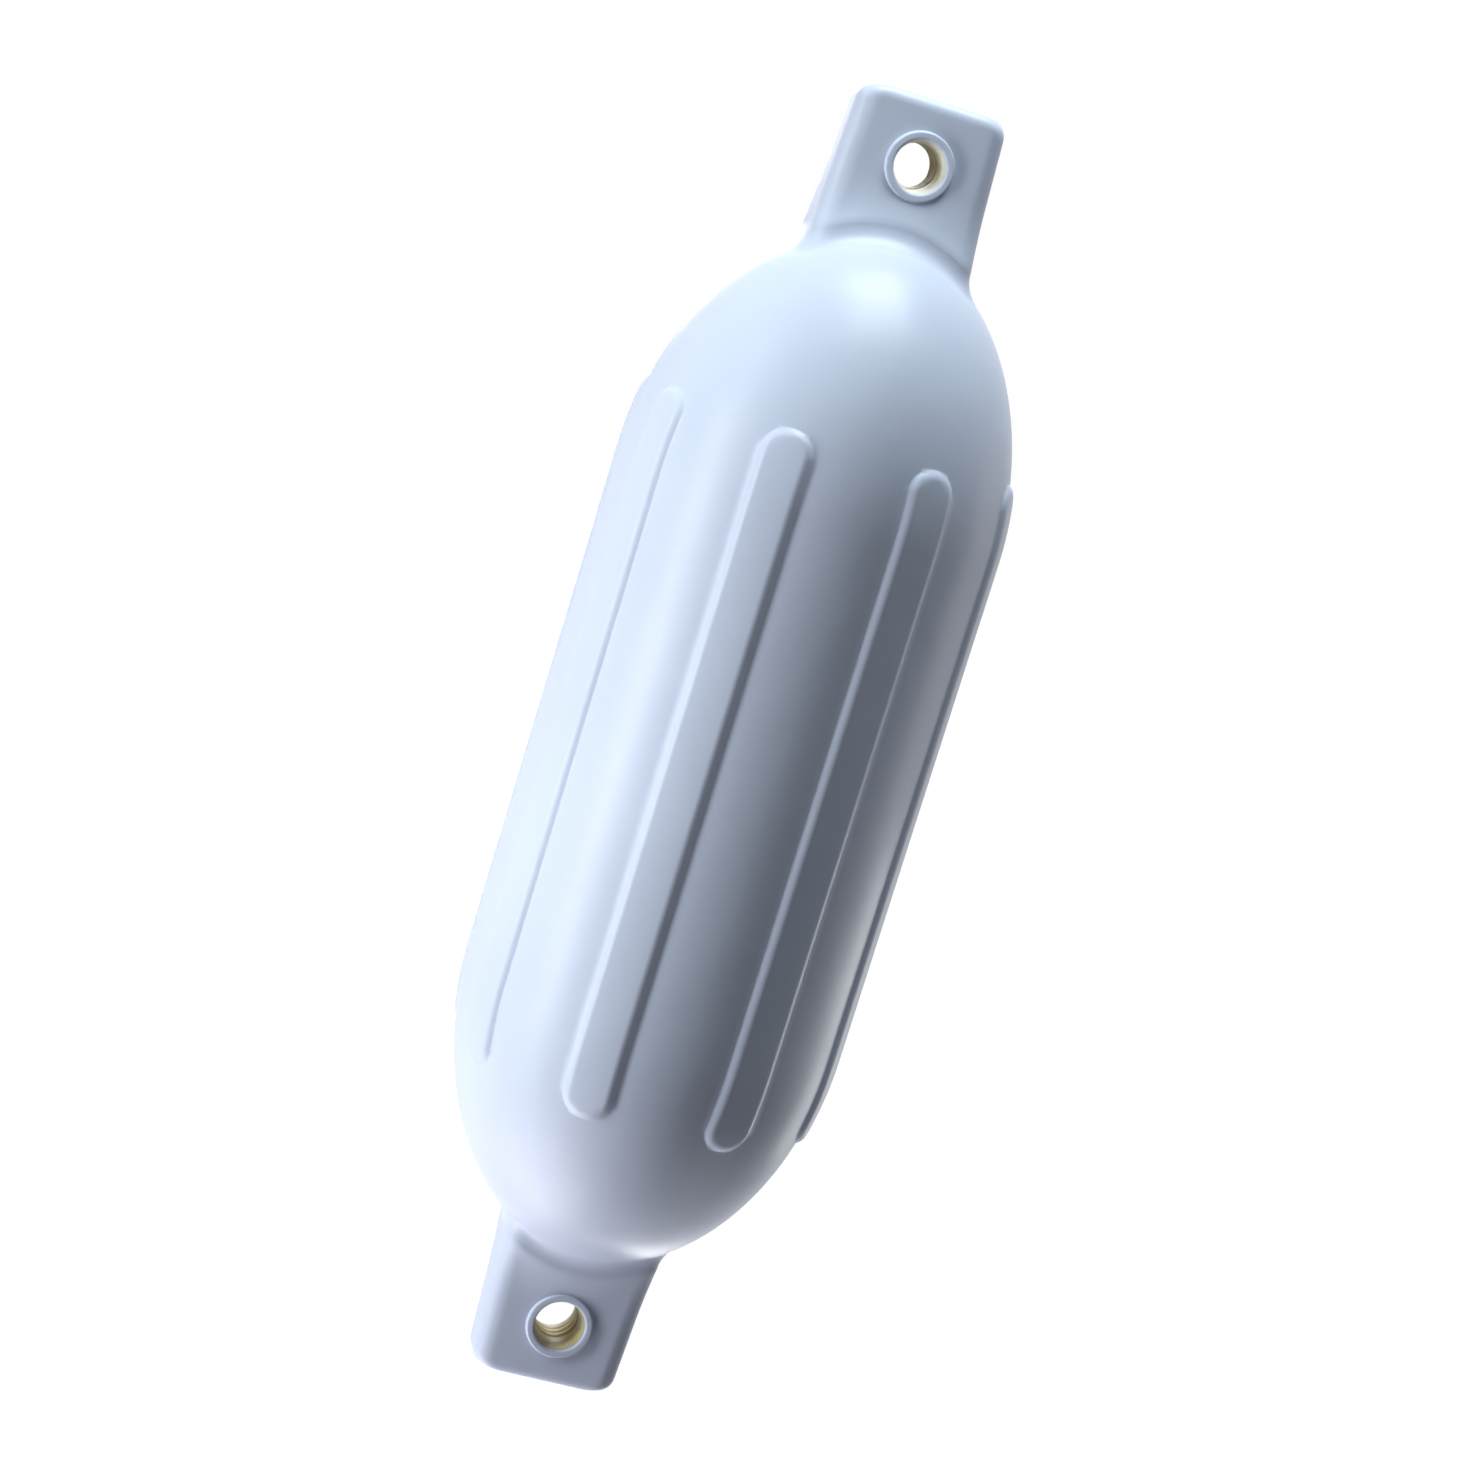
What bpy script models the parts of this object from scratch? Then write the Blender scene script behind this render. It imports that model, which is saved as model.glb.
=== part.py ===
"""Ribbed boat fender, blown from soft vinyl, with a tab and a lipped rope eye at each end.

Metres. +Z runs along the fender as it hangs, the tabs' flat faces look along Y and the origin is the
fender's middle. The body is one closed skin: a loft from a tab's rounded outline, through a soft
fillet, to the dome, the ribs and the middle, mirrored for the lower half. The rope eyes and the seat
of the air valve are turned shapes joined to it and cut from it.
"""
from math import asin, atan2, cos, hypot, pi, radians, sin, sqrt

import bmesh
import bpy
from mathutils import Vector

MM = 0.001

# Body
BODY_RADIUS = 81.0 * MM
STRAIGHT_LENGTH = 220.0 * MM
DOME_HEIGHT = 115.0 * MM

# Ribs along the body; each one is a low pad with sloping sides and round ends
RIB_COUNT = 8
RIB_HEIGHT = 2.1 * MM
RIB_TOP_WIDTH = 13.8 * MM
RIB_SLOPE_WIDTH = 4.5 * MM
RIB_REACH_ON_DOME = 38.0 * MM

# Tab at each end; its faces flare towards the dome, from a share of the way down its sides
TAB_REACH = 58.0 * MM
TAB_END_WIDTH = 63.9 * MM
TAB_BASE_WIDTH = 68.9 * MM
TAB_THICKNESS = 27.0 * MM
TAB_CORNER_RADIUS = 9.0 * MM
TAB_SIDE_ROUNDING = 7.5 * MM
TAB_END_ROUNDING = 5.5 * MM
TAB_FACE_FLARE = 4.0 * MM
TAB_FLARE_START = 0.5
TAB_FILLET = 8.0 * MM

# Rope eye through each tab: a bore that widens towards both mouths, in a raised round lip on both faces
EYE_BORE = 19.2 * MM
EYE_MOUTH = 22.0 * MM
EYE_FUNNEL_DEPTH = 8.5 * MM
EYE_INSET = 28.0 * MM
LIP_WALL = 3.3 * MM
LIP_HEIGHT = 2.0 * MM
LIP_ROUNDING = 0.8 * MM

# Air valve, a plug in a low boss on the back of the upper dome
VALVE_POSITION = 46.0
VALVE_FLANGE_DIAMETER = 12.0 * MM
VALVE_FLANGE_THICKNESS = 1.8 * MM
VALVE_STEM_DIAMETER = 8.0 * MM
VALVE_STEM_LENGTH = 12.0 * MM
NEEDLE_HOLE_DIAMETER = 1.6 * MM
NEEDLE_HOLE_DEPTH = 6.0 * MM
VALVE_BOSS_MARGIN = 3.6 * MM
VALVE_BOSS_HEIGHT = 1.2 * MM
VALVE_CLEARANCE = 0.3 * MM

# Fineness of the mesh
RIB_GAP_COLUMNS = 4
DOME_ROWS = 6
RIB_END_ROWS = 5
STRAIGHT_ROWS = 1
FILLET_ROWS = 3
TAB_SIDE_ROWS = 5
CROWN_ROWS = 4
EYE_SEGMENTS = 36
VALVE_SEGMENTS = 20
ARC_STEPS = 3
CUT_OVERRUN = 2.0 * MM
MERGE_DISTANCE = 0.01 * MM
RUN_STEPS = 24
HALVINGS = 40
DECIMALS = 7
SHARP_ANGLE = 40.0

HALF_STRAIGHT = STRAIGHT_LENGTH / 2
TAB_END = HALF_STRAIGHT + DOME_HEIGHT + TAB_REACH
EYE_CENTRE = TAB_END - EYE_INSET
LIP_FACE = TAB_THICKNESS / 2 + LIP_HEIGHT
RIB_BASE_WIDTH = RIB_TOP_WIDTH + 2 * RIB_SLOPE_WIDTH


def lerp(start, end, share):
    return start + (end - start) * share


def smoothstep(value):
    value = min(max(value, 0.0), 1.0)
    return value * value * (3 - 2 * value)


# Angles of the skin's columns

def column_angles():
    """Angles round the fender, with columns on each rib's top, on its slopes and on its edges."""
    pitch = 2 * pi / RIB_COUNT
    half_top = RIB_TOP_WIDTH / 2 / BODY_RADIUS
    half_base = RIB_BASE_WIDTH / 2 / BODY_RADIUS
    half_slope = (half_top + half_base) / 2
    across_rib = [-half_base, -half_slope, -half_top, 0.0, half_top, half_slope]
    gap = pitch - 2 * half_base
    angles = []
    for rib in range(RIB_COUNT):
        centre = (rib + 0.5) * pitch
        angles += [centre + offset for offset in across_rib]
        angles += [centre + half_base + gap * step / RIB_GAP_COLUMNS for step in range(RIB_GAP_COLUMNS)]
    return angles


# Dome and ribs

def dome_point(polar):
    """Radius and height on the dome's half ellipse, at an angle counted from its pole."""
    return BODY_RADIUS * sin(polar), HALF_STRAIGHT + DOME_HEIGHT * cos(polar)


def dome_normal(polar):
    out = Vector((DOME_HEIGHT * sin(polar), BODY_RADIUS * cos(polar)))
    return out.normalized()


def dome_polar(radius):
    return asin(min(radius / BODY_RADIUS, 1.0))


def dome_run(polar):
    """Distance along the surface from the dome's foot up to an angle counted from its pole."""
    points = [dome_point(lerp(pi / 2, polar, step / RUN_STEPS)) for step in range(RUN_STEPS + 1)]
    return sum(hypot(b[0] - a[0], b[1] - a[1]) for a, b in zip(points, points[1:]))


def polar_at_run(run):
    """Angle from the dome's pole at a distance along the surface from the dome's foot."""
    low, high = 0.0, pi / 2
    for _ in range(HALVINGS):
        middle = (low + high) / 2
        if dome_run(middle) > run:
            low = middle
        else:
            high = middle
    return high


def rib_rise(angle, radius, run):
    """Height of the nearest rib at a place on the skin, where run counts from the dome's foot."""
    pitch = 2 * pi / RIB_COUNT
    offset = (angle % pitch) - pitch / 2
    past_core = max(run - (RIB_REACH_ON_DOME - RIB_BASE_WIDTH / 2), 0.0)
    distance = hypot(past_core, offset * radius)
    return RIB_HEIGHT * smoothstep((RIB_BASE_WIDTH / 2 - distance) / RIB_SLOPE_WIDTH)


# Tab

def tab_outline_radius(angle, half_width, half_thickness):
    """Distance from the axis to the tab's rounded rectangle, in one direction."""
    across, through = abs(cos(angle)), abs(sin(angle))
    corner = min(TAB_SIDE_ROUNDING, half_thickness, half_width)
    core_x, core_y = half_width - corner, half_thickness - corner
    if across * core_y >= through * half_width:
        return half_width / across
    if through * core_x >= across * half_thickness:
        return half_thickness / through
    along = across * core_x + through * core_y
    return along + sqrt(max(along * along - core_x ** 2 - core_y ** 2 + corner ** 2, 0.0))


def rounded_inset(height, radius):
    """How far an edge of this radius draws a side in, at a height below the tab's end."""
    up = max(radius - height, 0.0)
    return radius - sqrt(max(radius * radius - up * up, 0.0))


def polar_point(angle, radius, height):
    """Point of the skin, rounded so that the points of a flat face lie in exactly one plane."""
    place = (radius * cos(angle), radius * sin(angle), height)
    return Vector([round(value, DECIMALS) for value in place])


# Closed sections of the skin, from the tab's end down to the fender's middle

def crown_section(angles, below_end):
    half_width = TAB_END_WIDTH / 2 - rounded_inset(below_end, TAB_CORNER_RADIUS)
    half_thickness = TAB_THICKNESS / 2 - rounded_inset(below_end, TAB_END_ROUNDING)
    height = TAB_END - below_end
    return [polar_point(a, tab_outline_radius(a, half_width, half_thickness), height) for a in angles]


def flared_half_thickness(share):
    """Half the tab's thickness, at a share of the way down its side to the fillet."""
    flare = max(share - TAB_FLARE_START, 0.0) / (1 - TAB_FLARE_START)
    return TAB_THICKNESS / 2 + TAB_FACE_FLARE * flare ** 2


def fillet_ends(angle):
    """The fillet's start on the tab's side, its corner, and its end on the dome, as radius and height."""
    radius = tab_outline_radius(angle, TAB_BASE_WIDTH / 2, flared_half_thickness(1.0))
    foot = dome_point(dome_polar(radius))[1]
    end = dome_point(dome_polar(radius + TAB_FILLET))
    return (radius, foot + TAB_FILLET), (radius, foot), end


def side_section(angles, share):
    half_width = lerp(TAB_END_WIDTH, TAB_BASE_WIDTH, share) / 2
    section = []
    for angle in angles:
        radius = tab_outline_radius(angle, half_width, flared_half_thickness(share))
        height = lerp(TAB_END - TAB_CORNER_RADIUS, fillet_ends(angle)[0][1], share)
        section.append(polar_point(angle, radius, height))
    return section


def fillet_section(angles, share):
    section = []
    for angle in angles:
        start, corner, end = (Vector(point) for point in fillet_ends(angle))
        point = start.lerp(corner, share).lerp(corner.lerp(end, share), share)
        section.append(polar_point(angle, point.x, point.y))
    return section


def dome_section(angles, polar_for_angle):
    section = []
    for angle in angles:
        polar = polar_for_angle(angle)
        radius, height = dome_point(polar)
        normal = dome_normal(polar)
        rise = rib_rise(angle, radius, dome_run(polar))
        section.append(polar_point(angle, radius + normal.x * rise, height + normal.y * rise))
    return section


def straight_section(angles, height):
    section = []
    for angle in angles:
        radius = BODY_RADIUS + rib_rise(angle, BODY_RADIUS, 0.0)
        section.append(polar_point(angle, radius, height))
    return section


def upper_half_sections(angles):
    crown = [TAB_CORNER_RADIUS * (1 - cos(pi / 2 * step / CROWN_ROWS)) for step in range(CROWN_ROWS)]
    sections = [crown_section(angles, below_end) for below_end in crown]
    sections += [side_section(angles, step / TAB_SIDE_ROWS) for step in range(TAB_SIDE_ROWS)]
    sections += [fillet_section(angles, step / FILLET_ROWS) for step in range(FILLET_ROWS)]

    fillet_foot = {angle: dome_polar(fillet_ends(angle)[2][0]) for angle in angles}
    rib_tip = polar_at_run(RIB_REACH_ON_DOME)
    for step in range(DOME_ROWS):
        share = step / DOME_ROWS
        sections.append(dome_section(angles, lambda angle: lerp(fillet_foot[angle], rib_tip, share)))

    rib_shoulder = polar_at_run(RIB_REACH_ON_DOME - RIB_BASE_WIDTH / 2)
    for step in range(RIB_END_ROWS + 1):
        polar = lerp(rib_tip, rib_shoulder, step / RIB_END_ROWS)
        sections.append(dome_section(angles, lambda angle: polar))
    sections.append(dome_section(angles, lambda angle: (rib_shoulder + pi / 2) / 2))
    for step in range(STRAIGHT_ROWS + 1):
        sections.append(straight_section(angles, HALF_STRAIGHT * (1 - step / STRAIGHT_ROWS)))
    return sections


# Making the objects

def new_collection(name):
    collection = bpy.data.collections.new(name)
    bpy.context.scene.collection.children.link(collection)
    return collection


def plain_material(name, colour, roughness, coat=0.0):
    material = bpy.data.materials.new(name)
    material.use_nodes = True
    shader = material.node_tree.nodes["Principled BSDF"]
    shader.inputs["Base Color"].default_value = (*colour, 1.0)
    shader.inputs["Roughness"].default_value = roughness
    shader.inputs["Coat Weight"].default_value = coat
    return material


def object_from_mesh(name, mesh, collection, material=None):
    obj = bpy.data.objects.new(name, mesh)
    collection.objects.link(obj)
    if material is not None:
        mesh.materials.append(material)
    return obj


def loft(name, sections, collection, material):
    """Skin between closed sections listed from the top down, open at the last one."""
    bm = bmesh.new()
    rings = [[bm.verts.new(point) for point in section] for section in sections]
    bm.faces.new(rings[0])
    for upper, lower in zip(rings, rings[1:]):
        for here in range(len(upper)):
            after = (here + 1) % len(upper)
            bm.faces.new((upper[here], lower[here], lower[after], upper[after]))
    mesh = bpy.data.meshes.new(name)
    bm.to_mesh(mesh)
    bm.free()
    return object_from_mesh(name, mesh, collection, material)


def turned(name, profile, segments, collection, material=None, closed=False):
    """Solid turned round its own Z axis from a profile of radius and height.

    An open profile starts and ends on the axis, and a closed one makes a ring. Both run down the outer side.
    """
    mesh = bpy.data.meshes.new(name)
    edges = [(index, index + 1) for index in range(len(profile) - 1)]
    if closed:
        edges.append((len(profile) - 1, 0))
    mesh.from_pydata([(radius, 0.0, height) for radius, height in profile], edges, [])
    obj = object_from_mesh(name, mesh, collection, material)
    screw = obj.modifiers.new("Turn", "SCREW")
    screw.steps = segments
    screw.render_steps = segments
    screw.use_merge_vertices = True
    screw.merge_threshold = MERGE_DISTANCE
    return obj


def arc(centre_radius, centre_height, radius, start, end):
    """Points of a round edge; angles in degrees, 0 outwards and 90 upwards."""
    points = []
    for step in range(ARC_STEPS + 1):
        angle = radians(lerp(start, end, step / ARC_STEPS))
        points.append((centre_radius + radius * cos(angle), centre_height + radius * sin(angle)))
    return points


def as_cutter(obj):
    obj.hide_render = True
    obj.display_type = "WIRE"


def boolean(target, tool, operation):
    """Joins or cuts with the manifold solver: the exact one leaves open edges round the foot of a lip."""
    modifier = target.modifiers.new(f"{operation.title()} {tool.name}", "BOOLEAN")
    modifier.operation = operation
    modifier.object = tool
    modifier.solver = "MANIFOLD"


def sleeve_profile():
    """Closed section of a rope eye: waisted bore inside, round lips past both faces of the tab."""
    mouth_radius = EYE_MOUTH / 2
    round_height = LIP_FACE - LIP_ROUNDING
    waist = LIP_FACE - EYE_FUNNEL_DEPTH
    outer = mouth_radius + LIP_WALL - LIP_ROUNDING
    inner = mouth_radius + LIP_ROUNDING
    profile = arc(outer, round_height, LIP_ROUNDING, 90, 0)
    profile += arc(outer, -round_height, LIP_ROUNDING, 0, -90)
    profile += arc(inner, -round_height, LIP_ROUNDING, 270, 180)
    profile += [(EYE_BORE / 2, -waist), (EYE_BORE / 2, waist)]
    profile += arc(inner, round_height, LIP_ROUNDING, 180, 90)
    return profile


def make_eye(body, name, height, cutters):
    """Cuts a plain hole through the tab and joins the rope eye's sleeve into it, both turned along Y."""
    hole_radius = (EYE_MOUTH + LIP_WALL) / 2
    past_face = LIP_FACE + CUT_OVERRUN
    hole_profile = [(0.0, past_face), (hole_radius, past_face), (hole_radius, -past_face), (0.0, -past_face)]
    hole = turned(f"{name}_hole", hole_profile, EYE_SEGMENTS, cutters)
    sleeve = turned(f"{name}_sleeve", sleeve_profile(), EYE_SEGMENTS, cutters, closed=True)
    for tool, operation in ((hole, "DIFFERENCE"), (sleeve, "UNION")):
        as_cutter(tool)
        tool.location = (0.0, 0.0, height)
        tool.rotation_euler = (pi / 2, 0.0, 0.0)
        boolean(body, tool, operation)


def valve_place():
    """Middle of the valve's seat on the back of the upper dome, and the tilt of its outward axis."""
    polar = radians(VALVE_POSITION)
    radius, height = dome_point(polar)
    normal = dome_normal(polar)
    return Vector((0.0, radius, height)), -atan2(normal.x, normal.y)


def place_on_dome(obj):
    location, tilt = valve_place()
    obj.location = location
    obj.rotation_euler = (tilt, 0.0, 0.0)


def make_valve_seat(body, cutters):
    flange_radius = VALVE_FLANGE_DIAMETER / 2
    boss_radius = flange_radius + VALVE_BOSS_MARGIN
    boss_edge = boss_radius - VALVE_BOSS_HEIGHT
    boss_root = VALVE_FLANGE_THICKNESS + VALVE_STEM_LENGTH
    boss_profile = [(0.0, VALVE_BOSS_HEIGHT)]
    boss_profile += arc(boss_edge, 0.0, VALVE_BOSS_HEIGHT, 90, 0)
    boss_profile += [(boss_radius, -boss_root), (0.0, -boss_root)]

    seat_radius = flange_radius + VALVE_CLEARANCE
    seat_floor = VALVE_BOSS_HEIGHT - VALVE_FLANGE_THICKNESS - VALVE_CLEARANCE
    hole_radius = VALVE_STEM_DIAMETER / 2 + VALVE_CLEARANCE
    hole_floor = seat_floor - VALVE_STEM_LENGTH
    above = VALVE_BOSS_HEIGHT + CUT_OVERRUN
    seat_profile = [(0.0, above), (seat_radius, above), (seat_radius, seat_floor), (hole_radius, seat_floor)]
    seat_profile += [(hole_radius, hole_floor), (0.0, hole_floor)]

    for kind, profile, operation in (("boss", boss_profile, "UNION"), ("seat", seat_profile, "DIFFERENCE")):
        tool = turned(f"valve_{kind}", profile, VALVE_SEGMENTS, cutters)
        as_cutter(tool)
        place_on_dome(tool)
        boolean(body, tool, operation)


def make_air_valve(parts):
    """Needle valve: a soft plug whose flange lies flush in the boss, with a blind hole for the needle."""
    flange_radius = VALVE_FLANGE_DIAMETER / 2
    stem_radius = VALVE_STEM_DIAMETER / 2
    needle_radius = NEEDLE_HOLE_DIAMETER / 2
    face = VALVE_BOSS_HEIGHT
    under_flange = face - VALVE_FLANGE_THICKNESS
    needle_floor = face - NEEDLE_HOLE_DEPTH
    stem_end = under_flange - VALVE_STEM_LENGTH + VALVE_CLEARANCE
    profile = [(0.0, needle_floor), (needle_radius, needle_floor), (needle_radius, face)]
    profile += [(flange_radius, face), (flange_radius, under_flange), (stem_radius, under_flange)]
    profile += [(stem_radius, stem_end), (0.0, stem_end)]
    rubber = plain_material("valve_rubber", (0.03, 0.03, 0.035), 0.6)
    valve = turned("air_valve", profile, VALVE_SEGMENTS, parts, rubber)
    place_on_dome(valve)


def make_body(parts, cutters):
    vinyl = plain_material("vinyl", (0.48, 0.56, 0.66), 0.35, 0.3)
    body = loft("fender_body", upper_half_sections(column_angles()), parts, vinyl)
    mirror = body.modifiers.new("Lower half", "MIRROR")
    mirror.use_axis = (False, False, True)
    mirror.merge_threshold = MERGE_DISTANCE
    make_eye(body, "upper_eye", EYE_CENTRE, cutters)
    make_eye(body, "lower_eye", -EYE_CENTRE, cutters)
    make_valve_seat(body, cutters)
    body.data.shade_smooth()
    body.data.set_sharp_from_angle(angle=radians(SHARP_ANGLE))


def main():
    for obj in list(bpy.data.objects):
        bpy.data.objects.remove(obj)
    parts = new_collection("boat_fender")
    cutters = new_collection("cutters")
    make_body(parts, cutters)
    make_air_valve(parts)


main()
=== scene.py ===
"""Looks of a ribbed boat fender: its vinyl skin, lipped rope eyes and air valve, with camera and studio.

Metres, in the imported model's frame. The skin is a loft of rows from tab to tab. The rope eyes and the
valve are turned pieces that sit in holes cut into it. Every material is made from nodes.
"""

import bmesh
import bpy
import numpy as np
from math import atan2, cos, pi, radians, sin
from mathutils import Matrix, Vector


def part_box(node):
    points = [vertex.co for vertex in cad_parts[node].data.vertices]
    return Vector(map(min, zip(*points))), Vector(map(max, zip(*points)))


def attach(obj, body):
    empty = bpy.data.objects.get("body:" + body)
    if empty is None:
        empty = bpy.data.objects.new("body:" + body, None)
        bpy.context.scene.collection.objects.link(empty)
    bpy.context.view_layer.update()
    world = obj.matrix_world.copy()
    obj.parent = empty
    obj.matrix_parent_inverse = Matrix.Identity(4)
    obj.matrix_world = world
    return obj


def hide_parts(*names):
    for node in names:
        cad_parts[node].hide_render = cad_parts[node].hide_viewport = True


MM = 0.001

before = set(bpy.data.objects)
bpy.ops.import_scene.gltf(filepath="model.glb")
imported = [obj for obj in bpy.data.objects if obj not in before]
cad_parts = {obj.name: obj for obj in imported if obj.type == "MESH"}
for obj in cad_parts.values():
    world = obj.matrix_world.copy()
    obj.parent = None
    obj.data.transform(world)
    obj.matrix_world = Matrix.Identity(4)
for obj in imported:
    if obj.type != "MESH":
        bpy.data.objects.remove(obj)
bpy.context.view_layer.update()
body_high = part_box("fender_body")[1]

# Sizes of the solids; the valve's place is in degrees from the dome's top
BODY_RADIUS = body_high.x
TAB_END = body_high.z
STRAIGHT_LENGTH = 220.0 * MM
DOME_HEIGHT = 115.0 * MM
RIB_COUNT = 8
RIB_HEIGHT = 2.1 * MM
RIB_TOP_WIDTH = 13.8 * MM
RIB_SLOPE_WIDTH = 4.5 * MM
LOWER_RIB_REACH = 38.0 * MM
TAB_END_WIDTH = 63.9 * MM
TAB_BASE_WIDTH = 68.9 * MM
TAB_THICKNESS = 27.0 * MM
TAB_CORNER_RADIUS = 9.0 * MM
TAB_END_ROUNDING = 5.5 * MM
TAB_FACE_FLARE = 4.0 * MM
TAB_FLARE_START = 0.5
TAB_FILLET = 8.0 * MM
EYE_BORE = 19.2 * MM
EYE_MOUTH = 22.0 * MM
EYE_FUNNEL_DEPTH = 8.5 * MM
EYE_INSET = 28.0 * MM
LIP_WALL = 3.3 * MM
LIP_HEIGHT = 2.0 * MM
LIP_ROUNDING = 0.8 * MM
VALVE_POSITION = 46.0
VALVE_FLANGE_RADIUS = 6.0 * MM
VALVE_FLANGE_THICKNESS = 1.8 * MM
VALVE_STEM_RADIUS = 4.0 * MM
VALVE_BOSS_MARGIN = 3.6 * MM
VALVE_BOSS_HEIGHT = 1.2 * MM
VALVE_CLEARANCE = 0.3 * MM
NEEDLE_HOLE_RADIUS = 0.8 * MM
NEEDLE_HOLE_DEPTH = 6.0 * MM

HALF_STRAIGHT = STRAIGHT_LENGTH / 2
EYE_CENTRE = TAB_END - EYE_INSET
LIP_FACE = TAB_THICKNESS / 2 + LIP_HEIGHT
RIB_BASE_WIDTH = RIB_TOP_WIDTH + 2 * RIB_SLOPE_WIDTH

# Finer forms: the ribs' slopes and shorter upper ends, softer corners, rounded edges and hidden skirts
RIB_FOOT_BEND = 0.12
RIB_SHOULDER_POWER = 2.0
UPPER_RIB_REACH = 34.2 * MM
TAB_SIDE_ROUNDING = 9.5 * MM
TAB_SIDE_SQUARENESS = 2.6
EYE_FUNNEL_POWER = 1.5
LIP_INNER_ROUNDING = 1.0 * MM
LIP_FILLET = 0.4 * MM
LIP_SKIRT = 0.25 * MM
BOSS_ROUNDING = 0.3 * MM
BOSS_SKIRT = 1.2 * MM
PLUG_ROUNDING = 0.4 * MM
VALVE_STEM_LENGTH = 11.7 * MM
VALVE_HOLE_DEPTH = 8.0 * MM

# Soft ridges in each rope eye, from its back mouth inwards
RIDGE_PITCH = 4.4 * MM
RIDGE_COUNT = 4
RIDGE_STEPS = 10
RIDGE_DEPTH = 0.55 * MM

# Fineness of the meshes, and the angles in degrees over which an edge stays sharp
TOP_COLUMNS = 6
SLOPE_COLUMNS = 10
GAP_COLUMNS = 16
CROWN_ROWS = 12
SIDE_ROWS = 16
FILLET_ROWS = 14
DOME_ROWS = 44
RIB_END_ROWS = 44
SHOULDER_ROWS = 6
STRAIGHT_ROWS = 10
TURN_SEGMENTS = 128
ARC_STEPS = 8
HALVINGS = 40
RUN_SAMPLES = 400
SKIN_SHARP_ANGLE = 50
VALVE_SHARP_ANGLE = 40

# Camera, fitted to the photograph: degrees, metres, millimetres of lens and sensor, and pixels
CAMERA_AZIMUTH = -12.6
CAMERA_ELEVATION = 9.26
CAMERA_DISTANCE = 1.44
CAMERA_ROLL = 17.25
CAMERA_LENS = 84.4
CAMERA_SENSOR = 36.0
MIDDLE_IN_PICTURE = (728.9, 755.8)
PICTURE_SIZE = 1466

# Colours, each at its place: cloudy skin, speckled rubber, and each bore from its front to its back,
# whose liner's own yellow carries painted shade in a darker olive band and painted light in a nearly
# white back end, set apart for each eye
SKIN_COLOURS = [(0.35, (0.48, 0.525, 0.665)), (0.65, (0.51, 0.555, 0.70))]
RUBBER_COLOURS = [(0.3, (0.012, 0.012, 0.014)), (0.7, (0.03, 0.03, 0.034))]
UPPER_BORE_TINT_AND_SHADE = [(0.03, (0.50, 0.52, 0.52)), (0.15, (0.70, 0.67, 0.52)), (0.45, (0.66, 0.57, 0.33)),
                      (0.70, (0.48, 0.39, 0.17)), (0.88, (0.60, 0.52, 0.30)), (0.98, (0.88, 0.85, 0.78))]
LOWER_BORE_TINT_AND_SHADE = [(0.02, (0.28, 0.29, 0.32)), (0.11, (0.42, 0.36, 0.18)), (0.32, (0.36, 0.28, 0.10)),
                      (0.50, (0.52, 0.42, 0.18)), (0.68, (0.78, 0.69, 0.44)), (0.90, (0.92, 0.90, 0.86))]

# Surfaces: gloss, features of each texture in a metre, and heights and strengths of the bumps
SKIN_ROUGHNESS = 0.36
SKIN_COAT = 0.05
BORE_ROUGHNESS = 0.45
ROUGHNESS_SPREAD = 0.04
COAT_ROUGHNESS = 0.25
VINYL_IOR = 1.45
VINYL_SPECULAR = 0.28
RUBBER_ROUGHNESS = 0.6
CLOUD_SCALE = 9.0
GLOSS_SCALE = 40.0
RIPPLE_SCALE = 55.0
RIPPLE_HEIGHT = 0.6 * MM
RIPPLE_STRENGTH = 0.35
GRAIN_SCALE = 1400.0
GRAIN_HEIGHT = 0.06 * MM
GRAIN_STRENGTH = 0.25
SPECK_SCALE = 500.0
SPECK_HEIGHT = 0.1 * MM
SPECK_STRENGTH = 0.3

# Studio: the floor's depth under the fender, its size and tones, and the light from all round
FLOOR_DROP = 0.9
FLOOR_HALF_WIDTH = 12.0
FLOOR_GREY = 0.5
FLOOR_ROUGHNESS = 0.9
PAPER_UNDER_FENDER = 0.86
PAPER_FADE_END = 4 * FLOOR_DROP
AMBIENT_LIGHT = (0.018, 0.018, 0.019)
WHITE = (1.0, 1.0, 1.0)

# Lamps, all aimed at the fender's middle: azimuth, elevation, distance, width and height, power, colour
LAMPS = {
    "strip_left": (-73, 0, 0.45, (0.08, 1.1), 1.68, (0.9, 1.0, 0.94)),
    "strip_left_middle": (-69, 0, 0.45, (0.08, 0.5), 1.5, (0.96, 0.98, 1.0)),
    "strip_right": (100, 0, 0.5, (0.1, 0.5), 0.25, (1.0, 0.97, 1.0)),
    "strip_right_low": (115, -25, 0.5, (0.1, 0.25), 0.28, (0.95, 1.0, 1.0)),
    "low_right": (60, -52, 0.48, (0.15, 0.15), 0.07, WHITE),
    "overhead": (10, 81, 1.0, (0.5, 0.5), 10.6, (0.9, 1.0, 1.0)),
    "below_left": (-95, -70, 0.95, (0.6, 0.6), 1.6, WHITE),
    "below_left_near": (-70, -68, 0.6, (0.3, 0.3), 1.1, (1.0, 0.95, 1.0)),
    "below_back": (160, -60, 1.0, (0.5, 0.5), 3.8, WHITE),
    "back_fill": (178, 28, 1.7, (0.8, 1.2), 15.0, WHITE),
}


def lerp(start, end, share):
    return start + (end - start) * share


def rounded_step(value):
    """Rises from 0 to 1: a short bend at the foot, then a slope that rounds off up to the top."""
    value = np.clip(value, 0.0, 1.0)
    above_foot = 1 - RIB_FOOT_BEND
    whole = RIB_FOOT_BEND / 2 + above_foot / RIB_SHOULDER_POWER
    foot = value ** 2 / (2 * RIB_FOOT_BEND)
    left_to_rise = above_foot / RIB_SHOULDER_POWER * ((1 - value) / above_foot) ** RIB_SHOULDER_POWER
    return np.where(value < RIB_FOOT_BEND, foot / whole, 1 - left_to_rise / whole)


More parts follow.
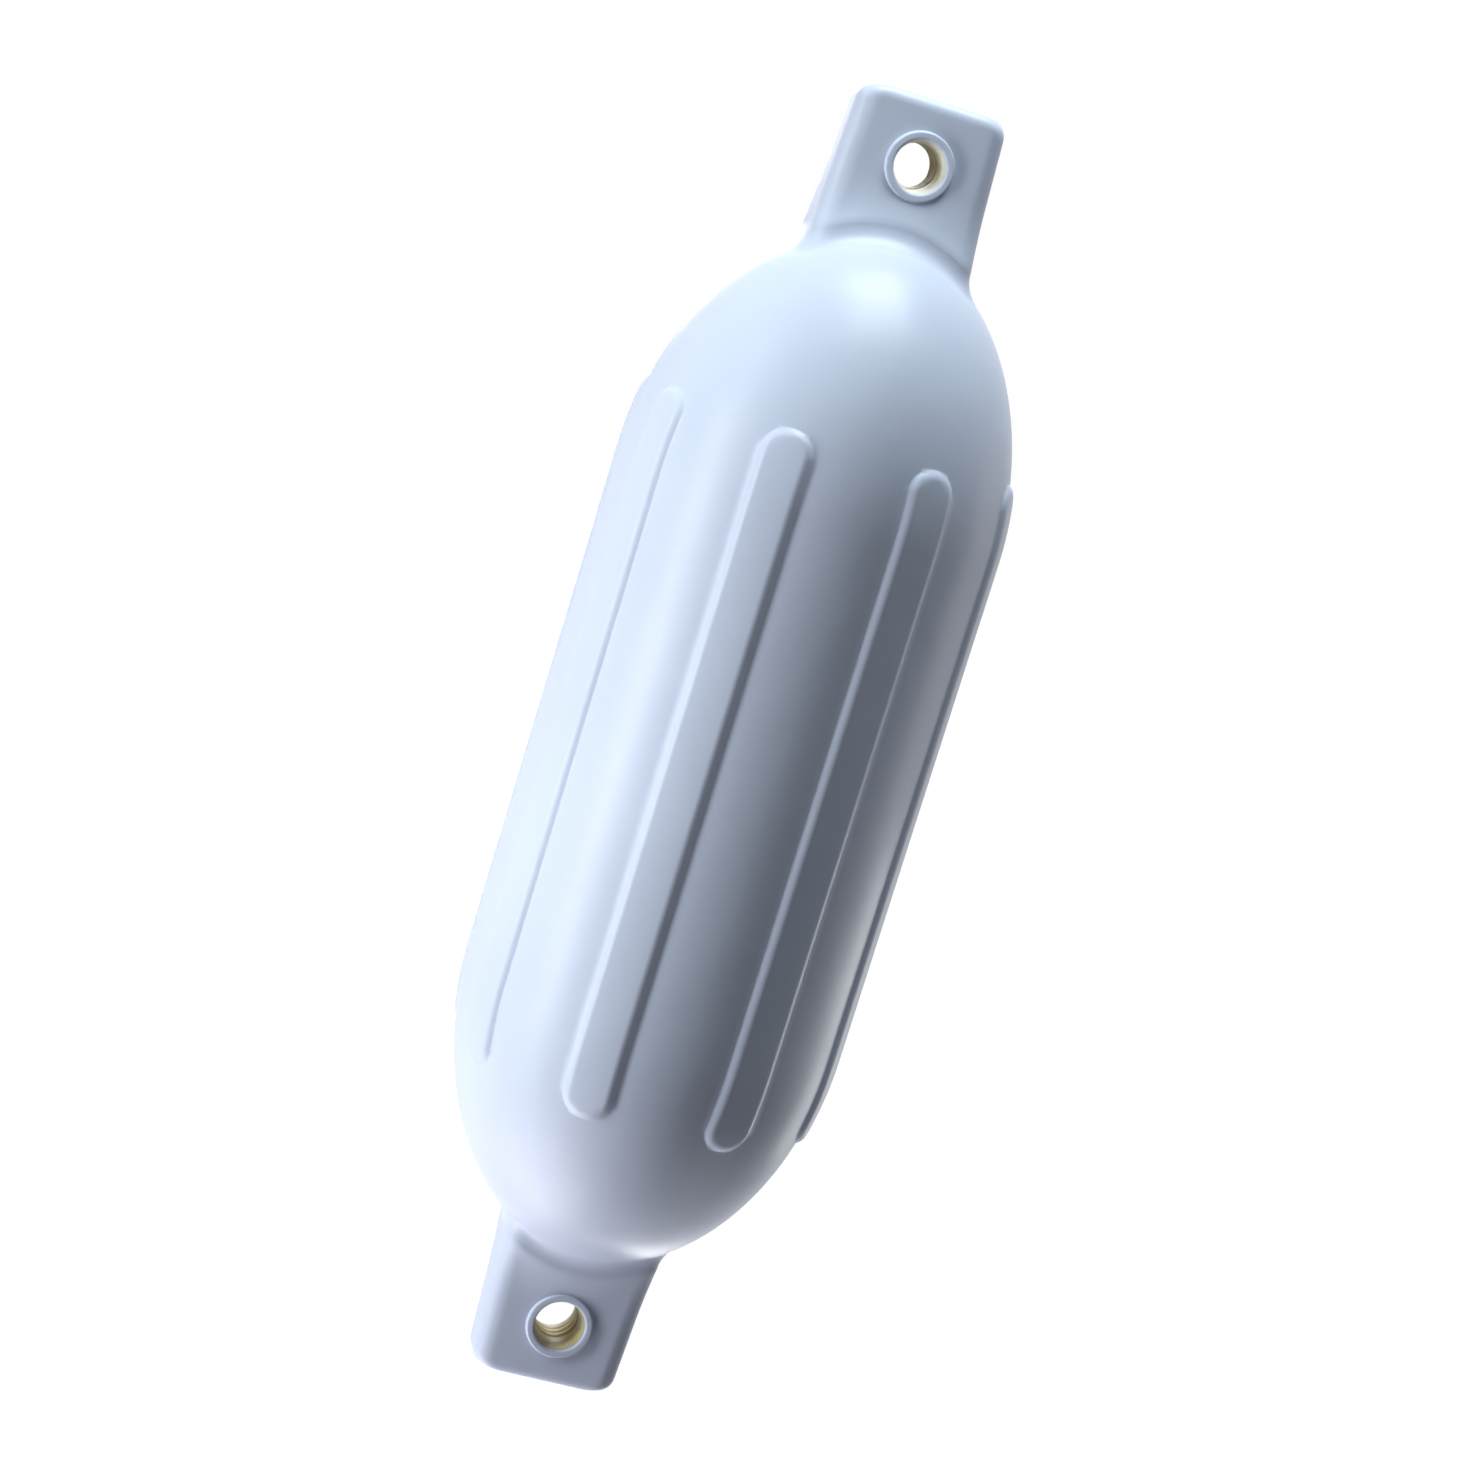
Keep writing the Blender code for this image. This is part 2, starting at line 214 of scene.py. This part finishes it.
# The skin's form, row by row and column by column

def column_angles():
    """Angles round the fender, close together on the ribs' slopes."""
    pitch = 2 * pi / RIB_COUNT
    half_top = RIB_TOP_WIDTH / 2 / BODY_RADIUS
    half_base = RIB_BASE_WIDTH / 2 / BODY_RADIUS
    stretches = [(-half_base, -half_top, SLOPE_COLUMNS), (-half_top, half_top, TOP_COLUMNS),
                 (half_top, half_base, SLOPE_COLUMNS), (half_base, pitch - half_base, GAP_COLUMNS)]
    offsets = np.concatenate([np.linspace(a, b, count, endpoint=False) for a, b, count in stretches])
    return np.concatenate([(rib + 0.5) * pitch + offsets for rib in range(RIB_COUNT)])


def dome_point(polar):
    """Radius and height of a point on the upper dome, at an angle from the dome's top."""
    return BODY_RADIUS * np.sin(polar), HALF_STRAIGHT + DOME_HEIGHT * np.cos(polar)


def dome_normal(polar):
    out = np.array([DOME_HEIGHT * np.sin(polar), BODY_RADIUS * np.cos(polar)])
    return out / np.linalg.norm(out, axis=0)


def run_table():
    """Angles from the dome's top, and the way along the surface from the dome's foot up to each."""
    polars = np.linspace(0, pi / 2, RUN_SAMPLES)
    steps = np.hypot(*(np.diff(part) for part in dome_point(polars)))
    from_top = np.concatenate([[0.0], np.cumsum(steps)])
    return polars, from_top[-1] - from_top


ANGLES = column_angles()
POLAR_TABLE, RUN_TABLE = run_table()


def run_at(polar):
    return np.interp(polar, POLAR_TABLE, RUN_TABLE)


def polar_at(run):
    return np.interp(run, RUN_TABLE[::-1], POLAR_TABLE[::-1])


def rib_rise(radius, run, rib_reach):
    """Height of the ribs over the skin in one row, which lies at a radius and at a run up the dome."""
    pitch = 2 * pi / RIB_COUNT
    offset = (ANGLES % pitch) - pitch / 2
    past_core = np.maximum(run - (rib_reach - RIB_BASE_WIDTH / 2), 0.0)
    distance = np.hypot(past_core, offset * radius)
    return RIB_HEIGHT * rounded_step((RIB_BASE_WIDTH / 2 - distance) / RIB_SLOPE_WIDTH)


def tab_outline_radius(half_width, half_thickness):
    """Distance from the axis to a rectangle whose corners bend in softly, in each column's direction."""
    across, through = np.abs(np.cos(ANGLES)), np.abs(np.sin(ANGLES))
    corner = np.minimum(TAB_SIDE_ROUNDING, half_thickness)
    core_x, core_y = half_width - corner, half_thickness - corner
    low, high = np.zeros_like(across), np.full_like(across, half_width + half_thickness)
    for _ in range(HALVINGS):
        middle = (low + high) / 2
        past_x = np.maximum(middle * across - core_x, 0.0) / corner
        past_y = np.maximum(middle * through - core_y, 0.0) / corner
        inside = past_x ** TAB_SIDE_SQUARENESS + past_y ** TAB_SIDE_SQUARENESS < 1
        low, high = np.where(inside, middle, low), np.where(inside, high, middle)
    return (low + high) / 2


def rounded_inset(depth, radius):
    """How far a rounded edge stands back from its side, at a depth below its end."""
    up = np.maximum(radius - depth, 0.0)
    return radius - np.sqrt(np.maximum(radius ** 2 - up ** 2, 0.0))


def crown_row(below_end):
    half_width = TAB_END_WIDTH / 2 - rounded_inset(below_end, TAB_CORNER_RADIUS)
    half_thickness = TAB_THICKNESS / 2 - rounded_inset(below_end, TAB_END_ROUNDING)
    return tab_outline_radius(half_width, half_thickness), np.full_like(ANGLES, TAB_END - below_end)


def flared_half_thickness(share):
    flare = max(share - TAB_FLARE_START, 0.0) / (1 - TAB_FLARE_START)
    return TAB_THICKNESS / 2 + TAB_FACE_FLARE * flare ** 2


def fillet_ends():
    """Radius and height of the fillet's start on the tab, its corner and its end on the dome."""
    radius = tab_outline_radius(TAB_BASE_WIDTH / 2, flared_half_thickness(1.0))
    foot = dome_point(np.arcsin(radius / BODY_RADIUS))[1]
    end = dome_point(np.arcsin((radius + TAB_FILLET) / BODY_RADIUS))
    return np.array([radius, foot + TAB_FILLET]), np.array([radius, foot]), np.array(end)


def side_row(share):
    half_width = lerp(TAB_END_WIDTH, TAB_BASE_WIDTH, share) / 2
    radius = tab_outline_radius(half_width, flared_half_thickness(share))
    return radius, lerp(TAB_END - TAB_CORNER_RADIUS, fillet_ends()[0][1], share)


def fillet_row(share):
    start, corner, end = fillet_ends()
    return lerp(lerp(start, corner, share), lerp(corner, end, share), share)


def dome_row(polar, rib_reach):
    radius, height = dome_point(polar)
    rise = rib_rise(radius, run_at(polar), rib_reach)
    normal = dome_normal(polar)
    return radius + normal[0] * rise, height + normal[1] * rise


def skin_rows(rib_reach):
    """Radius and height of every row of an upper half, from the tab's end to the fender's middle."""
    crown = [TAB_CORNER_RADIUS * (1 - cos(pi / 2 * step / CROWN_ROWS)) for step in range(CROWN_ROWS)]
    rows = [crown_row(below_end) for below_end in crown]
    rows += [side_row(step / SIDE_ROWS) for step in range(SIDE_ROWS)]
    rows += [fillet_row(step / FILLET_ROWS) for step in range(FILLET_ROWS)]
    fillet_foot = np.arcsin(fillet_ends()[2][0] / BODY_RADIUS)
    rib_tip = polar_at(rib_reach)
    rib_shoulder = polar_at(rib_reach - RIB_BASE_WIDTH / 2)
    stretches = [(fillet_foot, rib_tip, DOME_ROWS), (rib_tip, rib_shoulder, RIB_END_ROWS),
                 (rib_shoulder, pi / 2, SHOULDER_ROWS)]
    for start, end, count in stretches:
        rows += [dome_row(lerp(start, end, step / count), rib_reach) for step in range(count)]
    rise = rib_rise(BODY_RADIUS, 0.0, rib_reach)
    for step in range(STRAIGHT_ROWS + 1):
        height = HALF_STRAIGHT * (1 - step / STRAIGHT_ROWS)
        rows.append((BODY_RADIUS + rise, np.full_like(ANGLES, height)))
    return rows


def skin_mesh(name):
    upper = skin_rows(UPPER_RIB_REACH)
    lower = [(radius, -height) for radius, height in reversed(skin_rows(LOWER_RIB_REACH)[:-1])]
    rows = upper + lower
    columns = len(ANGLES)
    points = np.array([np.stack([r * np.cos(ANGLES), r * np.sin(ANGLES), z], axis=1) for r, z in rows])
    faces = []
    for row in range(len(rows) - 1):
        top, bottom = row * columns, (row + 1) * columns
        for here in range(columns):
            after = (here + 1) % columns
            faces.append((top + here, bottom + here, bottom + after, top + after))
    faces.append(tuple(range(columns)))
    last = (len(rows) - 1) * columns
    faces.append(tuple(last + here for here in reversed(range(columns))))
    mesh = bpy.data.meshes.new(name)
    mesh.from_pydata(points.reshape(-1, 3).tolist(), [], faces)
    mesh.validate()
    return mesh


# Turned pieces

def arc(centre_radius, centre_height, radius, start, end):
    """Points of a profile along an arc, between two angles in degrees."""
    angles = [radians(lerp(start, end, step / ARC_STEPS)) for step in range(ARC_STEPS + 1)]
    return [(centre_radius + radius * cos(a), centre_height + radius * sin(a)) for a in angles]


def turned_mesh(name, profile, closed):
    """Mesh turned round Z from a profile of radius and height; a closed profile makes a ring."""
    bm = bmesh.new()
    rings = []
    for radius, height in profile:
        count = 1 if radius == 0.0 else TURN_SEGMENTS
        turns = [2 * pi * step / TURN_SEGMENTS for step in range(count)]
        rings.append([bm.verts.new((radius * cos(t), radius * sin(t), height)) for t in turns])
    pairs = list(zip(rings, rings[1:]))
    if closed:
        pairs.append((rings[-1], rings[0]))
    for one, two in pairs:
        for here in range(TURN_SEGMENTS):
            after = (here + 1) % TURN_SEGMENTS
            places = ((one, here), (two, here), (two, after), (one, after))
            corners = [ring[place % len(ring)] for ring, place in places]
            bm.faces.new(list(dict.fromkeys(corners)))
    bmesh.ops.recalc_face_normals(bm, faces=bm.faces)
    mesh = bpy.data.meshes.new(name)
    bm.to_mesh(mesh)
    bm.free()
    return mesh


def new_object(name, mesh, *materials):
    obj = bpy.data.objects.new(name, mesh)
    bpy.context.scene.collection.objects.link(obj)
    for material in materials:
        mesh.materials.append(material)
    return obj


def shade_smooth(obj, sharp_angle):
    obj.data.shade_smooth()
    obj.data.set_sharp_from_angle(angle=radians(sharp_angle))


def waist_radius(height):
    """Radius of the rope eye's bore at a height over the middle of the tab, without its ridges."""
    straight = LIP_FACE - EYE_FUNNEL_DEPTH
    share = np.clip((abs(height) - straight) / (LIP_FACE - LIP_INNER_ROUNDING - straight), 0.0, 1.0)
    return lerp(EYE_BORE, EYE_MOUTH, share ** EYE_FUNNEL_POWER) / 2


def bore_profile():
    """Bore from the front mouth to the back one, with soft ridges from the back one inwards."""
    end = LIP_FACE - LIP_INNER_ROUNDING
    steps = int(2 * end / RIDGE_PITCH * RIDGE_STEPS)
    profile = []
    for step in range(1, steps):
        height = lerp(end, -end, step / steps)
        turns = (height + end) / RIDGE_PITCH
        wave = abs(sin(pi * turns)) if turns < RIDGE_COUNT else 0.0
        profile.append((waist_radius(height) - RIDGE_DEPTH * wave, height))
    return profile


def lip_sleeve_profile():
    """Section of the rope eye's sleeve: ridged bore, round lip on each face, skirts under the skin."""
    mouth = EYE_MOUTH / 2
    outer = mouth + LIP_WALL
    face = TAB_THICKNESS / 2
    skirt = [(outer + LIP_FILLET, face - LIP_SKIRT), (outer + LIP_FILLET, face)]
    skirt += arc(outer + LIP_FILLET, face + LIP_FILLET, LIP_FILLET, 270, 180)[1:]
    outside = arc(outer - LIP_ROUNDING, LIP_FACE - LIP_ROUNDING, LIP_ROUNDING, 0, 90)
    inside = arc(mouth + LIP_INNER_ROUNDING, LIP_FACE - LIP_INNER_ROUNDING, LIP_INNER_ROUNDING, 90, 180)
    front = skirt + outside + inside
    back = [(radius, -height) for radius, height in reversed(front)]
    return front + bore_profile() + back


def make_eye(name, height, vinyl, liner):
    """Lipped sleeve of a rope eye, with the liner's material, yellow with painted shade and painted
    light, on the wall of its bore.
    """
    mesh = turned_mesh(name, lip_sleeve_profile(), closed=True)
    obj = new_object(name, mesh, vinyl, liner)
    for face in mesh.polygons:
        centre = face.center
        inside = Vector((centre.x, centre.y)).length < EYE_MOUTH / 2
        face.material_index = int(inside and abs(centre.z) < LIP_FACE - LIP_INNER_ROUNDING)
    mesh.transform(Matrix.Translation((0, 0, height)) @ Matrix.Rotation(pi / 2, 4, "X"))
    shade_smooth(obj, SKIN_SHARP_ANGLE)
    return obj


def valve_matrix():
    """Place of the valve on the back of the upper dome, with its Z straight out of the skin."""
    polar = radians(VALVE_POSITION)
    radius, height = dome_point(polar)
    normal = dome_normal(polar)
    tilt = -atan2(normal[0], normal[1])
    return Matrix.Translation((0, radius, height)) @ Matrix.Rotation(tilt, 4, "X")


def make_valve_boss(vinyl):
    """Low round boss with the seat that the plug lies in."""
    rim = VALVE_BOSS_HEIGHT
    seat = VALVE_FLANGE_RADIUS + VALVE_CLEARANCE
    outer = VALVE_FLANGE_RADIUS + VALVE_BOSS_MARGIN
    hole = VALVE_STEM_RADIUS + VALVE_CLEARANCE
    floor = rim - VALVE_FLANGE_THICKNESS - VALVE_CLEARANCE
    foot = -BOSS_SKIRT - VALVE_FLANGE_THICKNESS
    profile = [(hole, floor - BOSS_SKIRT), (hole, floor), (seat, floor), (seat, rim - BOSS_ROUNDING)]
    profile += arc(seat + BOSS_ROUNDING, rim - BOSS_ROUNDING, BOSS_ROUNDING, 180, 90)
    profile += arc(outer - rim, 0.0, rim, 90, 0)
    profile += [(outer, foot), (seat + BOSS_ROUNDING, foot)]
    mesh = turned_mesh("valve_boss", profile, closed=True)
    mesh.transform(valve_matrix())
    obj = new_object("valve_boss", mesh, vinyl)
    shade_smooth(obj, VALVE_SHARP_ANGLE)
    return obj


def make_valve_plug(rubber):
    """Rubber plug: a flange flush with the boss's rim, a stem under it and the needle's hole."""
    face = VALVE_BOSS_HEIGHT
    under = face - VALVE_FLANGE_THICKNESS
    stem_end = under - VALVE_STEM_LENGTH
    profile = [(0.0, face - NEEDLE_HOLE_DEPTH), (NEEDLE_HOLE_RADIUS, face - NEEDLE_HOLE_DEPTH)]
    profile += [(NEEDLE_HOLE_RADIUS, face - PLUG_ROUNDING)]
    profile += arc(NEEDLE_HOLE_RADIUS + PLUG_ROUNDING, face - PLUG_ROUNDING, PLUG_ROUNDING, 180, 90)
    profile += arc(VALVE_FLANGE_RADIUS - PLUG_ROUNDING, face - PLUG_ROUNDING, PLUG_ROUNDING, 90, 0)
    profile += [(VALVE_FLANGE_RADIUS, under), (VALVE_STEM_RADIUS, under)]
    profile += [(VALVE_STEM_RADIUS, stem_end), (0.0, stem_end)]
    mesh = turned_mesh("valve_plug", profile, closed=False)
    mesh.transform(valve_matrix())
    obj = new_object("valve_plug", mesh, rubber)
    shade_smooth(obj, VALVE_SHARP_ANGLE)
    return obj


def cut_hole(target, radius, depth, matrix):
    """Cuts a round hole into a piece, as deep as stated on both sides of the matrix's place."""
    profile = [(0.0, depth), (radius, depth), (radius, -depth), (0.0, -depth)]
    mesh = turned_mesh("hole", profile, closed=False)
    mesh.transform(matrix)
    tool = new_object("hole", mesh)
    modifier = target.modifiers.new("Hole", "BOOLEAN")
    modifier.operation = "DIFFERENCE"
    modifier.object = tool
    modifier.solver = "EXACT"
    with bpy.context.temp_override(object=target, active_object=target):
        bpy.ops.object.modifier_apply(modifier=modifier.name)
    bpy.data.objects.remove(tool)


def make_skin(vinyl):
    """Whole skin, with holes that the eyes' lips and the valve's boss cover."""
    obj = new_object("fender_skin", skin_mesh("fender_skin"), vinyl)
    turn = Matrix.Rotation(pi / 2, 4, "X")
    eye_hole = (EYE_MOUTH + LIP_WALL) / 2
    for height in (EYE_CENTRE, -EYE_CENTRE):
        cut_hole(obj, eye_hole, TAB_THICKNESS, Matrix.Translation((0, 0, height)) @ turn)
    cut_hole(obj, VALVE_FLANGE_RADIUS + VALVE_BOSS_MARGIN / 2, VALVE_HOLE_DEPTH, valve_matrix())
    shade_smooth(obj, SKIN_SHARP_ANGLE)
    return obj


# Materials

def new_material(name):
    material = bpy.data.materials.new(name)
    material.use_nodes = True
    nodes = material.node_tree.nodes
    return material, nodes, material.node_tree.links, nodes["Principled BSDF"]


def noise(nodes, links, coordinates, scale, detail):
    node = nodes.new("ShaderNodeTexNoise")
    node.inputs["Scale"].default_value = scale
    node.inputs["Detail"].default_value = detail
    links.new(coordinates.outputs["Object"], node.inputs["Vector"])
    return node.outputs["Fac"]


def ramp(nodes, links, source, stops):
    node = nodes.new("ShaderNodeValToRGB")
    elements = node.color_ramp.elements
    while len(elements) < len(stops):
        elements.new(0.5)
    for element, (place, colour) in zip(elements, stops):
        element.position = place
        element.color = (*colour, 1.0)
    links.new(source, node.inputs["Fac"])
    return node.outputs["Color"]


def map_range(nodes, links, source, given, wanted):
    """Maps the stretch of given values to the stretch of wanted ones."""
    node = nodes.new("ShaderNodeMapRange")
    for name, value in zip(("From Min", "From Max", "To Min", "To Max"), (*given, *wanted)):
        node.inputs[name].default_value = value
    links.new(source, node.inputs["Value"])
    return node.outputs["Result"]


def bump(nodes, links, source, height, strength):
    node = nodes.new("ShaderNodeBump")
    node.inputs["Strength"].default_value = strength
    node.inputs["Distance"].default_value = height
    links.new(source, node.inputs["Height"])
    return node


def clouded(nodes, links, coordinates):
    """Faintly cloudy grey-blue of the skin."""
    cloud = noise(nodes, links, coordinates, CLOUD_SCALE, detail=3.0)
    return ramp(nodes, links, cloud, SKIN_COLOURS)


def yellowed_and_shaded(stops):
    """Wall of a rope eye's bore in colours from its front to its back: the liner's own yellow, with
    painted shade in a darker olive band and painted light in a nearly white back end.
    """
    def make_colour(nodes, links, coordinates):
        split = nodes.new("ShaderNodeSeparateXYZ")
        links.new(coordinates.outputs["Object"], split.inputs["Vector"])
        depth = map_range(nodes, links, split.outputs["Y"], (-LIP_FACE, LIP_FACE), (0.0, 1.0))
        return ramp(nodes, links, depth, stops)
    return make_colour


def moulded_vinyl(name, make_colour, roughness, coat):
    """Satin vinyl: slightly uneven gloss and a very fine grain, in the colour that make_colour gives."""
    material, nodes, links, shader = new_material(name)
    coordinates = nodes.new("ShaderNodeTexCoord")
    links.new(make_colour(nodes, links, coordinates), shader.inputs["Base Color"])
    gloss = noise(nodes, links, coordinates, GLOSS_SCALE, detail=4.0)
    spread = (roughness - ROUGHNESS_SPREAD, roughness + ROUGHNESS_SPREAD)
    links.new(map_range(nodes, links, gloss, (0.0, 1.0), spread), shader.inputs["Roughness"])
    grain = noise(nodes, links, coordinates, GRAIN_SCALE, detail=2.0)
    ripple = noise(nodes, links, coordinates, RIPPLE_SCALE, detail=2.0)
    fine = bump(nodes, links, grain, GRAIN_HEIGHT, GRAIN_STRENGTH)
    broad = bump(nodes, links, ripple, RIPPLE_HEIGHT, RIPPLE_STRENGTH)
    links.new(fine.outputs["Normal"], broad.inputs["Normal"])
    links.new(broad.outputs["Normal"], shader.inputs["Normal"])
    shader.inputs["IOR"].default_value = VINYL_IOR
    shader.inputs["Specular IOR Level"].default_value = VINYL_SPECULAR
    shader.inputs["Coat Weight"].default_value = coat
    shader.inputs["Coat Roughness"].default_value = COAT_ROUGHNESS
    return material


def rubber_material():
    """Matt black rubber with a fine speckle."""
    material, nodes, links, shader = new_material("valve_rubber")
    coordinates = nodes.new("ShaderNodeTexCoord")
    speck = noise(nodes, links, coordinates, SPECK_SCALE, detail=3.0)
    links.new(ramp(nodes, links, speck, RUBBER_COLOURS), shader.inputs["Base Color"])
    rough = bump(nodes, links, speck, SPECK_HEIGHT, SPECK_STRENGTH)
    links.new(rough.outputs["Normal"], shader.inputs["Normal"])
    shader.inputs["Roughness"].default_value = RUBBER_ROUGHNESS
    return material


# Studio

def look_along(direction):
    return Vector(direction).to_track_quat("-Z", "Y").to_matrix().to_4x4()


def from_around(azimuth, elevation, distance):
    """A point seen from the fender's middle; azimuth 0 is the front and negative is to its left."""
    a, e = radians(azimuth), radians(elevation)
    return Vector((sin(a) * cos(e), -cos(a) * cos(e), sin(e))) * distance


def make_camera():
    place = from_around(CAMERA_AZIMUTH, CAMERA_ELEVATION, CAMERA_DISTANCE)
    data = bpy.data.cameras.new("camera")
    data.lens = CAMERA_LENS
    data.sensor_width = CAMERA_SENSOR
    data.shift_x = (PICTURE_SIZE / 2 - MIDDLE_IN_PICTURE[0]) / PICTURE_SIZE
    data.shift_y = (MIDDLE_IN_PICTURE[1] - PICTURE_SIZE / 2) / PICTURE_SIZE
    camera = bpy.data.objects.new("camera", data)
    roll = Matrix.Rotation(radians(CAMERA_ROLL), 4, "Z")
    camera.matrix_world = Matrix.Translation(place) @ look_along(-place) @ roll
    bpy.context.scene.collection.objects.link(camera)
    bpy.context.scene.camera = camera


def area_light(name, azimuth, elevation, distance, size, power, colour):
    data = bpy.data.lights.new(name, "AREA")
    data.shape = "RECTANGLE"
    data.size, data.size_y = size
    data.energy = power
    data.color = colour
    light = bpy.data.objects.new(name, data)
    place = from_around(azimuth, elevation, distance)
    light.matrix_world = Matrix.Translation(place) @ look_along(-place)
    light.visible_camera = False
    bpy.context.scene.collection.objects.link(light)


def seen_rays(nodes, links):
    """1 for rays that show the backdrop: straight from the camera, mirrored or through glass."""
    path = nodes.new("ShaderNodeLightPath")
    seen = path.outputs["Is Camera Ray"]
    for name in ("Is Glossy Ray", "Is Transmission Ray"):
        either = nodes.new("ShaderNodeMath")
        either.operation = "MAXIMUM"
        links.new(seen, either.inputs[0])
        links.new(path.outputs[name], either.inputs[1])
        seen = either.outputs["Value"]
    return seen


def make_world():
    """White where it is seen, and a faint light from all round."""
    world = bpy.data.worlds.new("studio")
    bpy.context.scene.world = world
    world.use_nodes = True
    nodes, links = world.node_tree.nodes, world.node_tree.links
    mix = nodes.new("ShaderNodeMix")
    mix.data_type = "RGBA"
    mix.inputs["A"].default_value = (*AMBIENT_LIGHT, 1.0)
    mix.inputs["B"].default_value = (*WHITE, 1.0)
    links.new(seen_rays(nodes, links), mix.inputs["Factor"])
    links.new(mix.outputs["Result"], nodes["Background"].inputs["Color"])


def white_for_camera(name):
    """Pale matt floor that keeps shadows and shows as white paper to the camera."""
    material, nodes, links, shader = new_material(name)
    shader.inputs["Base Color"].default_value = (FLOOR_GREY, FLOOR_GREY, FLOOR_GREY, 1.0)
    shader.inputs["Roughness"].default_value = FLOOR_ROUGHNESS
    shader.inputs["Emission Color"].default_value = (*WHITE, 1.0)
    coordinates = nodes.new("ShaderNodeTexCoord")
    distance = nodes.new("ShaderNodeVectorMath")
    distance.operation = "LENGTH"
    links.new(coordinates.outputs["Object"], distance.inputs[0])
    paper = map_range(nodes, links, distance.outputs["Value"], (FLOOR_DROP, PAPER_FADE_END),
                      (PAPER_UNDER_FENDER, 1.0))
    glow = nodes.new("ShaderNodeMath")
    glow.operation = "MULTIPLY"
    links.new(paper, glow.inputs[0])
    links.new(seen_rays(nodes, links), glow.inputs[1])
    links.new(glow.outputs["Value"], shader.inputs["Emission Strength"])
    return material


def make_floor():
    half = FLOOR_HALF_WIDTH
    height = -TAB_END - FLOOR_DROP
    corners = [(-half, -half, height), (half, -half, height), (half, half, height), (-half, half, height)]
    mesh = bpy.data.meshes.new("floor")
    mesh.from_pydata(corners, [], [(0, 1, 2, 3)])
    new_object("floor", mesh, white_for_camera("floor_white"))


def main():
    make_camera()
    make_world()
    make_floor()
    for name, settings in LAMPS.items():
        area_light(name, *settings)
    vinyl = moulded_vinyl("vinyl", clouded, SKIN_ROUGHNESS, SKIN_COAT)
    # The bores' materials carry painted shade and painted light, in a separate copy for each eye
    upper_liner_and_shade = moulded_vinyl("upper_bore_and_painted_shade", yellowed_and_shaded(UPPER_BORE_TINT_AND_SHADE), BORE_ROUGHNESS, 0.0)
    lower_liner_and_shade = moulded_vinyl("lower_bore_and_painted_shade", yellowed_and_shaded(LOWER_BORE_TINT_AND_SHADE), BORE_ROUGHNESS, 0.0)
    skin = make_skin(vinyl)
    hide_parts("fender_body")
    upper_eye = make_eye("upper_eye", EYE_CENTRE, vinyl, upper_liner_and_shade)
    lower_eye = make_eye("lower_eye", -EYE_CENTRE, vinyl, lower_liner_and_shade)
    boss = make_valve_boss(vinyl)
    for piece in (skin, upper_eye, lower_eye, boss):
        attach(piece, "root")
    plug = make_valve_plug(rubber_material())
    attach(plug, "root")
    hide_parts("air_valve")


main()

bpy.context.scene.view_settings.view_transform = "Standard"
